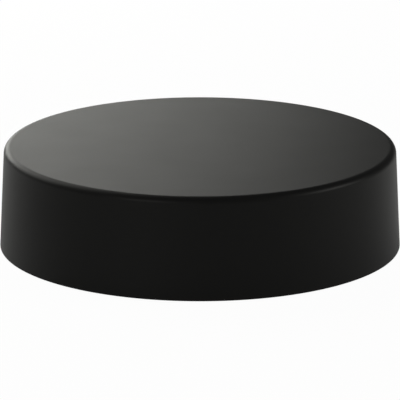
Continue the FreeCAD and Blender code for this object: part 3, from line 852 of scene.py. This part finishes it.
class PUCK_OT_base(bpy.types.Operator):
    """Builds the base with its well, ribs, standoffs and screw holes"""
    bl_idname = "puck.base"
    bl_label = "Base"

    def execute(self, context):
        size, cover = context.scene.puck_base, context.scene.puck_cover
        fasteners, jack = context.scene.puck_fasteners, context.scene.puck_jack
        fine = size.edge
        outer = side_of("base")
        rim = node_low("base").z
        gasket = node_high("mounting_gasket")
        recess_outer = gasket.x + size.gasket_gap
        recess_inner = gasket.x - size.gasket_width - size.gasket_gap
        well = gasket.x - size.gasket_width - size.mouth_land
        well_outer = well + size.well_wall
        well_top = node_high("vent_membrane").z
        ceiling = well_top + size.ceiling
        floor_top = rim + size.floor
        lip_top = floor_top + size.lip_height
        lip_inner = outer(lip_top) - size.lip
        chamfer = lip_top - size.lip_chamfer
        seal = centre("rim_seal").z
        groove_low, groove_high = seal - size.groove_width / 2, seal + size.groove_width / 2
        groove_floor = outer(seal) - size.groove_depth
        plate = turned([
            (0, well_top),
            (well, well_top, size.well_round),
            (well, rim, size.mouth_round),
            (recess_inner, rim, fine),
            (recess_inner, gasket.z, fine),
            (recess_outer, gasket.z, fine),
            (recess_outer, rim, fine),
            (outer(rim), rim, fine),
            (outer(groove_low), groove_low, fine),
            (groove_floor, groove_low, fine),
            (groove_floor, groove_high, fine),
            (outer(groove_high), groove_high, fine),
            (outer(chamfer), chamfer, fine),
            (outer(lip_top) - size.lip_chamfer, lip_top, fine),
            (lip_inner, lip_top, fine),
            (lip_inner, floor_top, 2 * fine),
            (well_outer, floor_top, 2 * fine),
            (well_outer, ceiling, size.well_round),
            (0, ceiling),
        ], finish(PLASTIC), size.steps, divisions=4)

        inside = floor_top - size.floor / 3
        insert_top = node_high("mounting_inserts").z
        rib_start = well + size.well_wall / 2
        rib_end = (lip_inner + groove_floor) / 2
        rib_top = floor_top + size.rib_height
        boss = post(fasteners.insert_radius + size.insert_wall, gasket.z + fine,
                    insert_top + size.insert_cap, edge=size.boss_round)
        standoff = post(size.standoff_radius, inside, node_low("circuit_board").z,
                        edge=size.boss_round)
        landing = post(size.landing_radius, inside, floor_top + size.landing_height, edge=fine)
        inside_lip = post(rib_end, inside - PAST, rib_top, steps=96)
        rib, short_rib = (bar(rib_start, end, size.rib, inside, rib_top)
                          for end in (rib_end, insert_circle()))
        plate = joined(plate, [
            at_inserts(boss),
            at_standoffs(standoff),
            common(at_screws(landing), [inside_lip]),
            ring(rib, cover.screw_count, start=math.pi / cover.screw_count),
            ring(short_rib, fasteners.insert_count),
        ])

        seat = node_low("cover_screws").z + fasteners.cover_head_height
        pilot_low = node_low("board_screws").z - PILOT_GAP
        board_top = node_high("circuit_board").z
        thread_hole = post(jack.thread + jack.hole_gap, well_top - PAST, ceiling - PAST / 2)
        for vertex in thread_hole.vertices:
            vertex.co.y = min(vertex.co.y, jack.flat + jack.hole_gap)
        pocket = post(jack.seal_inner + jack.seal_width + jack.seal_gap,
                      node_low("cellular_jack_seal").z, ceiling + PAST)
        vent = post(size.vent_hole, well_top - PAST, ceiling + PAST, steps=32)
        plate = cut(plate, [
            at_inserts(post(fasteners.insert_radius, gasket.z - PAST, insert_top)),
            at_standoffs(post(fasteners.board_pilot, pilot_low, board_top, steps=32)),
            at_screws(post(fasteners.screw_hole, rim - PAST, ceiling, steps=32)),
            at_screws(countersunk(fasteners.head_recess, rim, seat, fine)),
            copies_at(thread_hole, port_places()),
            copies_at(pocket, port_places()),
            moved(vent, 0, centre("vent_membrane").y),
        ])
        piece("moulded_base", plate, "base_plastic", "base")
        return {"FINISHED"}


class PUCK_OT_soft_parts(bpy.types.Operator):
    """Builds the rim seal, the gasket and the vent membrane"""
    bl_idname = "puck.soft_parts"
    bl_label = "Seal, gasket and vent"

    def execute(self, context):
        size = context.scene.puck_base
        outer = node_high("rim_seal").x
        width = size.groove_depth + size.gap - size.seal_squeeze
        seal = oval_ring(outer - width, outer, *levels("rim_seal"),
                         context.scene.puck_cover.steps)
        piece("rim_seal_ring", seal, "seal_rubber", "rim_seal")

        fine = size.gasket_edge
        outer = node_high("mounting_gasket").x
        low, high = levels("mounting_gasket")
        gasket = collar(outer - size.gasket_width, outer, low, high, (fine, fine),
                        finish("closed-cell rubber sheet"), size.steps)
        holes = at_inserts(countersunk(size.gasket_hole, low, high + PAST, fine / 2))
        piece("ring_gasket", cut(gasket, [holes]), "gasket_rubber", "mounting_gasket")

        radius = (node_high("vent_membrane").x - node_low("vent_membrane").x) / 2
        film = post(radius, *levels("vent_membrane"), finish("expanded PTFE film"), steps=64)
        piece("vent_film", moved(film, 0, centre("vent_membrane").y), "vent_film",
              "vent_membrane")
        return {"FINISHED"}


# Fasteners
def threaded(mesh, radius, low, high, pitch, depth):
    return applied(mesh, wave_tree(), Starts=1.0, Pitch=pitch, Depth=depth, Radius=radius,
                   Low=low, High=high, Fade=pitch / 2)


def six_lobe(across, low, high):
    """Cutters for a six-lobe recess: a core and its lobes, as shares of the size across."""
    return [post(0.37 * across, low, high, steps=36),
            ring(post(0.14 * across, low, high, steps=24), 6, 0.36 * across)]


def screw(kind, seat, tip, material):
    """Thread-forming pan-head screw on Z: its head sits on seat, on the side away from tip."""
    head, head_height, core, pitch, socket, socket_depth = (
        getattr(bpy.context.scene.puck_fasteners, f"{kind}_{part}")
        for part in ("head", "head_height", "core", "pitch", "socket", "socket_depth"))
    # Edge break of the head, length of the point, plain ends and depth of the thread
    head_edge = 0.1 * MM
    point = 0.5 * MM
    plain_low, plain_high = 0.6 * MM, 0.4 * MM
    depth = 0.2 * MM
    way = 1 if seat > tip else -1
    top = seat + way * head_height
    corners = [
        (0, top), (head, top, head_height / 3), (head, seat, head_edge),
        *straight(core, seat, tip + way * point, pitch / 10), (core - point, tip), (0, tip)]
    body = turned(corners[::-way], material, 40, divisions=8)
    low, high = sorted((seat, tip))
    body = threaded(body, core, low + plain_low, high - plain_high, pitch, depth)
    return cut(body, six_lobe(socket, *sorted((top + way * PAST, top - way * socket_depth))))


class PUCK_OT_fasteners(bpy.types.Operator):
    """Builds the screws and the threaded inserts"""
    bl_idname = "puck.fasteners"
    bl_label = "Fasteners"

    def execute(self, context):
        size = context.scene.puck_fasteners
        low, high = levels("cover_screws")
        one = screw("cover", low + size.cover_head_height, high,
                    finish("stainless steel, tumbled"))
        piece("six_cover_screws", at_screws(one), "stainless_screw", "cover_screws")
        low, high = levels("board_screws")
        one = screw("board", high - size.board_head_height, low, finish("zinc-plated steel"))
        piece("four_board_screws", at_standoffs(one), "zinc_screw", "board_screws")

        core, radius = size.insert_core, size.insert_radius
        low, high = levels("mounting_inserts")
        waist_low = (low + high) / 2 - size.insert_waist / 2
        waist_high = (low + high) / 2 + size.insert_waist / 2
        bevel = size.insert_bevel
        insert = turned([
            (core + bevel, low), (radius - bevel, low),
            *straight(radius, low + bevel, waist_low, MM / 2),
            (radius - size.waist_depth, waist_low), (radius - size.waist_depth, waist_high),
            *straight(radius, waist_high, high - bevel, MM / 2),
            (radius - bevel, high), (core + bevel, high),
            *straight(core, high - bevel, low + bevel, size.insert_pitch / 8),
        ], finish("free-cutting brass"), 5 * size.knurl_count, closed=True)
        insert = threaded(insert, core, low, high, size.insert_pitch, -size.insert_depth)
        for band_low, band_high in ((low, waist_low), (waist_high, high)):
            insert = applied(insert, wave_tree(), Starts=float(size.knurl_count), Pitch=1.0,
                             Depth=size.knurl_depth, Radius=radius, Low=band_low,
                             High=band_high, Fade=2 * bevel)
        piece("four_inserts", at_inserts(insert), "insert_brass", "mounting_inserts")
        return {"FINISHED"}


# The jacks
def jack_shell(size):
    """Barrel with a thread and a flat, square block and four board legs."""
    end, leg_end = levels("cellular_jack_shell")
    block_low, block_high = node_high("cellular_jack_seal").z, node_low("circuit_board").z
    fine = size.mouth_edge
    mouth_top = end + size.mouth_depth
    barrel = turned([
        (size.insulator, block_high), (size.insulator, mouth_top), (size.mouth, mouth_top),
        (size.mouth, end + fine), (size.mouth + fine, end),
        (size.thread - size.end_chamfer, end),
        *straight(size.thread, end + size.end_chamfer, block_low, size.pitch / 10),
        (size.thread, block_high),
    ], finish(GILT), 72, closed=True)
    barrel = threaded(barrel, size.thread, end, block_low + size.pitch, size.pitch, size.depth)
    for vertex in barrel.vertices:
        if vertex.co.z < block_low:
            vertex.co.y = min(vertex.co.y, size.flat)
    half = size.block / 2
    corner = half - size.block_chamfer
    block = prism([(corner, -half), (half, -corner), (half, corner), (corner, half),
                   (-corner, half), (-half, corner), (-half, -corner), (-corner, -half)],
                  block_low, block_high)
    bore = post((size.insulator + size.thread) / 2, block_low - PAST, block_high + PAST)
    leg = bar(-size.leg / 2, size.leg / 2, size.leg, block_high - MM, leg_end)
    taper = size.leg_tip / size.leg
    for vertex in leg.vertices:
        if vertex.co.z > block_high:
            vertex.co.x *= taper
            vertex.co.y *= taper
    legs = copies_at(leg, four_corners(size.leg_offset, size.leg_offset))
    return joined(barrel, [cut(block, [bore]), legs])


def jack_insulator(size):
    """Turned sleeve round the contact."""
    return collar(size.contact, size.insulator, *levels("cellular_jack_insulator"), (0, 0),
                  finish("white fluoropolymer"), 48)


def jack_contact(size):
    """Pin with a socket that two slits part into four fingers."""
    low, high = levels("cellular_jack_contact")
    fine = size.edge
    bottom = low + size.socket_depth
    pin = turned([
        (0, bottom), (size.socket, bottom), (size.socket, low + fine),
        (size.socket + fine, low), (size.contact - fine, low), (size.contact, low + fine),
        (size.contact, high, size.contact_round), (0, high)], finish(GILT))
    half, reach = size.slit / 2, 2 * size.contact
    return cut(pin, [bar(-long, long, 2 * wide, low - PAST, low + size.slit_depth)
                     for long, wide in ((reach, half), (half, reach))])


def jack_seal(size):
    """Squeezed ring under the shell's block."""
    return oval_ring(size.seal_inner, size.seal_inner + size.seal_width,
                     *levels("cellular_jack_seal"), 96)


def jack_washer(size):
    """Flat ring with teeth on its inside."""
    low, high = levels("cellular_jack_washer")
    inner = size.thread + size.hole_gap
    washer = collar(inner, size.washer, low, high, (0, size.edge), finish(GILT), 96)
    gap = bar(0, inner + size.tooth_depth, size.tooth_gap, low - PAST, high + PAST)
    return cut(washer, [ring(gap, size.washer_teeth)])


def jack_nut(size):
    """Hexagon crossed with a turned blank, so that its corners are chamfered."""
    low, high = levels("cellular_jack_nut")
    corner = size.nut_flats / math.sqrt(3)
    reach, height, entry = 0.4 * MM, 0.25 * MM, 0.25 * MM
    bore = size.thread + size.nut_gap
    blank = turned([
        (bore + entry / 2, low), (corner - reach, low), (corner, low + height),
        (corner, high - height), (corner - reach, high), (bore + entry / 2, high),
        *straight(bore, high - entry, low + entry, size.pitch / 10),
    ], finish(GILT), 72, closed=True)
    blank = threaded(blank, bore, low, high, size.pitch, size.depth)
    hexagon = [(corner * math.cos(k * math.pi / 3), corner * math.sin(k * math.pi / 3))
               for k in range(6)]
    return common(blank, [prism(hexagon, low - PAST, high + PAST)])


class PUCK_OT_jacks(bpy.types.Operator):
    """Builds both coaxial jacks with their washers, nuts and seals"""
    bl_idname = "puck.jacks"
    bl_label = "Coaxial jacks"

    def execute(self, context):
        size = context.scene.puck_jack
        forms = {
            "shell": (jack_shell(size), "gilt_brass"),
            "insulator": (jack_insulator(size), "white_insulator"),
            "contact": (jack_contact(size), "gilt_pin"),
            "seal": (jack_seal(size), "seal_rubber"),
            "washer": (jack_washer(size), "gilt_brass"),
            "nut": (jack_nut(size), "gilt_brass"),
        }
        for port, (x, y) in zip(PORTS, port_places()):
            for name, (mesh, slot) in forms.items():
                piece(f"{port}_{name}", moved(mesh.copy(), x, y), slot, f"{port}_jack_{name}")
        return {"FINISHED"}


# The board
# Outline of a solder joint, as shares of its radius and height: hollow, as it wets the lead
SOLDER = [(0, 0), (1, 0), (0.72, 0.1), (0.57, 0.3), (0.5, 0.6), (0.47, 0.9), (0.4, 1), (0, 1)]


def solder(size, face, way):
    """Cone of solder that climbs a lead from the board's face."""
    corners = [(size.solder_radius * r, face + way * size.solder_height * z)
               for r, z in SOLDER[::way]]
    return turned(corners, finish("flowed solder"), 32)


class PUCK_OT_board(bpy.types.Operator):
    """Builds the circuit board with the solder on its leads"""
    bl_idname = "puck.board"
    bl_label = "Circuit board"

    def execute(self, context):
        size, cover = context.scene.puck_board, context.scene.puck_cover
        jack = context.scene.puck_jack
        radius = node_high("circuit_board").y
        low, high = levels("circuit_board")
        through = (low - PAST, high + PAST)
        notch = cover.boss_radius + size.notch_gap
        notches = joined(post(notch, *through), [bar(0, radius, 2 * notch, *through)])
        contacts = port_places()
        legs = [(x + side, end) for x, _ in contacts
                for side, end in four_corners(jack.leg_offset, jack.leg_offset)]
        feed = centre("patch_feed_pin").xy
        leads = [(jack.leg / math.sqrt(2), legs), (jack.contact, contacts),
                 (size.feed_pin, [feed])]
        disc = post(radius, low, high, finish("green mask on laminate"), steps=cover.steps)
        plate = cut(disc, [
            at_screws(notches),
            at_standoffs(post(size.screw_hole, *through, steps=32)),
            *[copies_at(post(lead + size.lead_gap, *through, steps=24), places)
              for lead, places in leads],
        ])
        piece("laminate_board", plate, "board_laminate", "circuit_board")

        tab = node_low("cellular_radiator")
        tabs = [(tab.x + offset, tab.y + size.sheet / 2)
                for offset in (size.short_leg, size.feed_leg)]
        joints = together([copies_at(solder(size, high, 1), legs + contacts),
                           copies_at(solder(size, low, -1), tabs + [feed])])
        piece("solder_joints", joints, "tinned_sheet")
        return {"FINISHED"}


# Nodes that keep their engineering form
KEPT = {
    "cellular_radiator": "tinned steel sheet",
    "radiator_carrier": "natural acetal",
    "satellite_patch": "fired ceramic",
    "patch_adhesive": "acrylic foam tape",
    "patch_feed_pin": GILT,
    "amplifier_shield": "drawn nickel silver",
    "amplifier_chip": "moulded epoxy",
    "filter_chips": "moulded epoxy",
    "chip_capacitors": "fired chips, tinned ends",
}


class PUCK_OT_finishes(bpy.types.Operator):
    """Finishes the pieces that keep their engineering form, and plates the patch"""
    bl_idname = "puck.finishes"
    bl_label = "Electronics finishes"

    def execute(self, context):
        for node, name in KEPT.items():
            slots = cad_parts[node].data.materials
            slots.clear()
            slots.append(finish(name))

        size = context.scene.puck_board
        low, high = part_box("satellite_patch")
        half = (high.x - low.x) / 2 - size.electrode_margin
        trim = half - size.electrode_trim
        y = centre("satellite_patch").y
        plate = prism([(-half, y - half), (trim, y - half), (half, y - trim), (half, y + half),
                       (-trim, y + half), (-half, y + trim)],
                      high.z, high.z + size.electrode, finish("fired silver paste"))
        pin_low, pin_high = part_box("patch_feed_pin")
        pin = post((pin_high.x - pin_low.x) / 2, high.z - PAST, high.z + PAST, steps=32)
        plate = cut(plate, [moved(pin, 0, centre("patch_feed_pin").y)])
        piece("patch_electrode", plate, "tinned_sheet")
        return {"FINISHED"}


# The stage
# Each lamp: name, place, what it faces, width and height in metres, and power in watts
LAMPS = [
    ("back softbox", (-0.08, 0.38, 0.10), (-0.08, 0, 0.10), 0.40, 0.07, 0.77),
    ("left softbox", (-1.04, 1.04, 1.0), (0, 0, 0.02), 1.5, 1.3, 18.5),
    ("right fill", (1.13, -0.12, 0.40), (0, 0, 0.02), 0.4, 0.3, 5.0),
    ("front fill", (-0.6, -0.96, 0.40), (0, 0, 0.02), 0.4, 0.3, 3.0),
]
# From the middle of the floor to its edges, in metres
FLOOR_REACH = 20.0


def pale_floor(size):
    """Matt floor, nearly white where the camera or gloss sees it, with a faint shadow."""
    material = bpy.data.materials.new("pale floor")
    material.use_nodes = True
    tree = material.node_tree
    tree.nodes.clear()
    ray = add(tree, "ShaderNodeLightPath").outputs
    plain = add(tree, MATH, [ray["Is Camera Ray"], ray["Is Transmission Ray"]],
                operation="MAXIMUM")
    plain = add(tree, MATH, [plain, size.floor_white], operation="MULTIPLY")
    glossy = add(tree, MATH, [ray["Is Glossy Ray"], size.floor_gleam], operation="MULTIPLY")
    white_share = add(tree, MATH, [plain, glossy], operation="MAXIMUM")
    lit = add(tree, "ShaderNodeBsdfDiffuse", [(*size.floor, 1)])
    white = add(tree, "ShaderNodeEmission", [(1, 1, 1, 1), 1.0])
    mixed = add(tree, "ShaderNodeMixShader", [white_share, lit, white])
    add(tree, "ShaderNodeOutputMaterial", [mixed])
    return material


def fade(light, start, end):
    """Fades a softbox along X, as one lit from its left end."""
    light.use_nodes = True
    tree = light.node_tree
    place = add(tree, "ShaderNodeNewGeometry").outputs["Position"]
    x = add(tree, "ShaderNodeSeparateXYZ", [place])
    strength = add(tree, "ShaderNodeMapRange", [x, start, end, 1.0, 0.0])
    plug(tree.nodes["Emission"], {"Strength": strength})


class PUCK_OT_stage(bpy.types.Operator):
    """Sets up the pale floor, the lamps and the camera"""
    bl_idname = "puck.stage"
    bl_label = "Stage"

    def execute(self, context):
        scene = context.scene
        size = scene.puck_stage
        mesh = new_mesh("floor", pale_floor(size))
        corners = [(-1, -1, 0), (1, -1, 0), (1, 1, 0), (-1, 1, 0)]
        mesh.from_pydata([FLOOR_REACH * Vector(corner) for corner in corners], [],
                         [(0, 1, 2, 3)])
        in_scene("floor", mesh)

        scene.world = bpy.data.worlds.new("studio")
        scene.world.use_nodes = True
        plug(scene.world.node_tree.nodes["Background"],
             {"Color": (*size.wall, 1), "Strength": 1.0})

        for name, place, aim, width, height, power in LAMPS:
            light = bpy.data.lights.new(name, "AREA")
            light.shape = "RECTANGLE"
            light.size, light.size_y = width, height
            light.energy = power
            light.color = size.light
            lamp = in_scene(name, light)
            lamp.location = place
            lamp.rotation_euler = (Vector(aim) - lamp.location).to_track_quat(
                "-Z", "Y").to_euler()
        fade(bpy.data.lights["back softbox"], size.fade_start, size.fade_end)

        camera = in_scene("camera", bpy.data.cameras.new("camera"))
        camera.data.lens = size.lens
        camera.data.sensor_width = 36
        camera.data.clip_end = 100
        back = Vector((0, -math.cos(size.elevation), math.sin(size.elevation)))
        camera.location = Vector((0, 0, size.look_height)) + back * size.distance
        camera.rotation_euler = (-back).to_track_quat("-Z", "Y").to_euler()
        scene.camera = camera
        scene.view_settings.view_transform = "Standard"
        return {"FINISHED"}


# The add-on
class PUCK_PT_panel(bpy.types.Panel):
    """Lists the antenna's pieces and their sizes"""
    bl_idname = "PUCK_PT_panel"
    bl_label = "Puck antenna"
    bl_space_type = "VIEW_3D"
    bl_region_type = "UI"
    bl_category = "Puck antenna"

    def draw(self, context):
        for operator in OPERATORS:
            self.layout.operator(operator.bl_idname)
        for name, group in SETTINGS.items():
            column = self.layout.box().column()
            for size in group.__annotations__:
                column.prop(getattr(context.scene, name), size)


SETTINGS = {
    "puck_cover": PUCK_CoverSizes,
    "puck_base": PUCK_BaseSizes,
    "puck_fasteners": PUCK_FastenerSizes,
    "puck_jack": PUCK_JackSizes,
    "puck_board": PUCK_BoardSizes,
    "puck_stage": PUCK_StageSettings,
}
OPERATORS = [
    PUCK_OT_cover, PUCK_OT_base, PUCK_OT_soft_parts, PUCK_OT_fasteners, PUCK_OT_jacks,
    PUCK_OT_board, PUCK_OT_finishes, PUCK_OT_stage,
]
CLASSES = [*SETTINGS.values(), *OPERATORS, PUCK_PT_panel]


def register():
    for entry in CLASSES:
        bpy.utils.register_class(entry)
    for name, group in SETTINGS.items():
        setattr(bpy.types.Scene, name, bpy.props.PointerProperty(type=group))


def unregister():
    for name in SETTINGS:
        delattr(bpy.types.Scene, name)
    for entry in reversed(CLASSES):
        bpy.utils.unregister_class(entry)


def main():
    register()
    for operator in OPERATORS:
        family, name = operator.bl_idname.split(".")
        getattr(getattr(bpy.ops, family), name)()


if __name__ == "__main__":
    main()
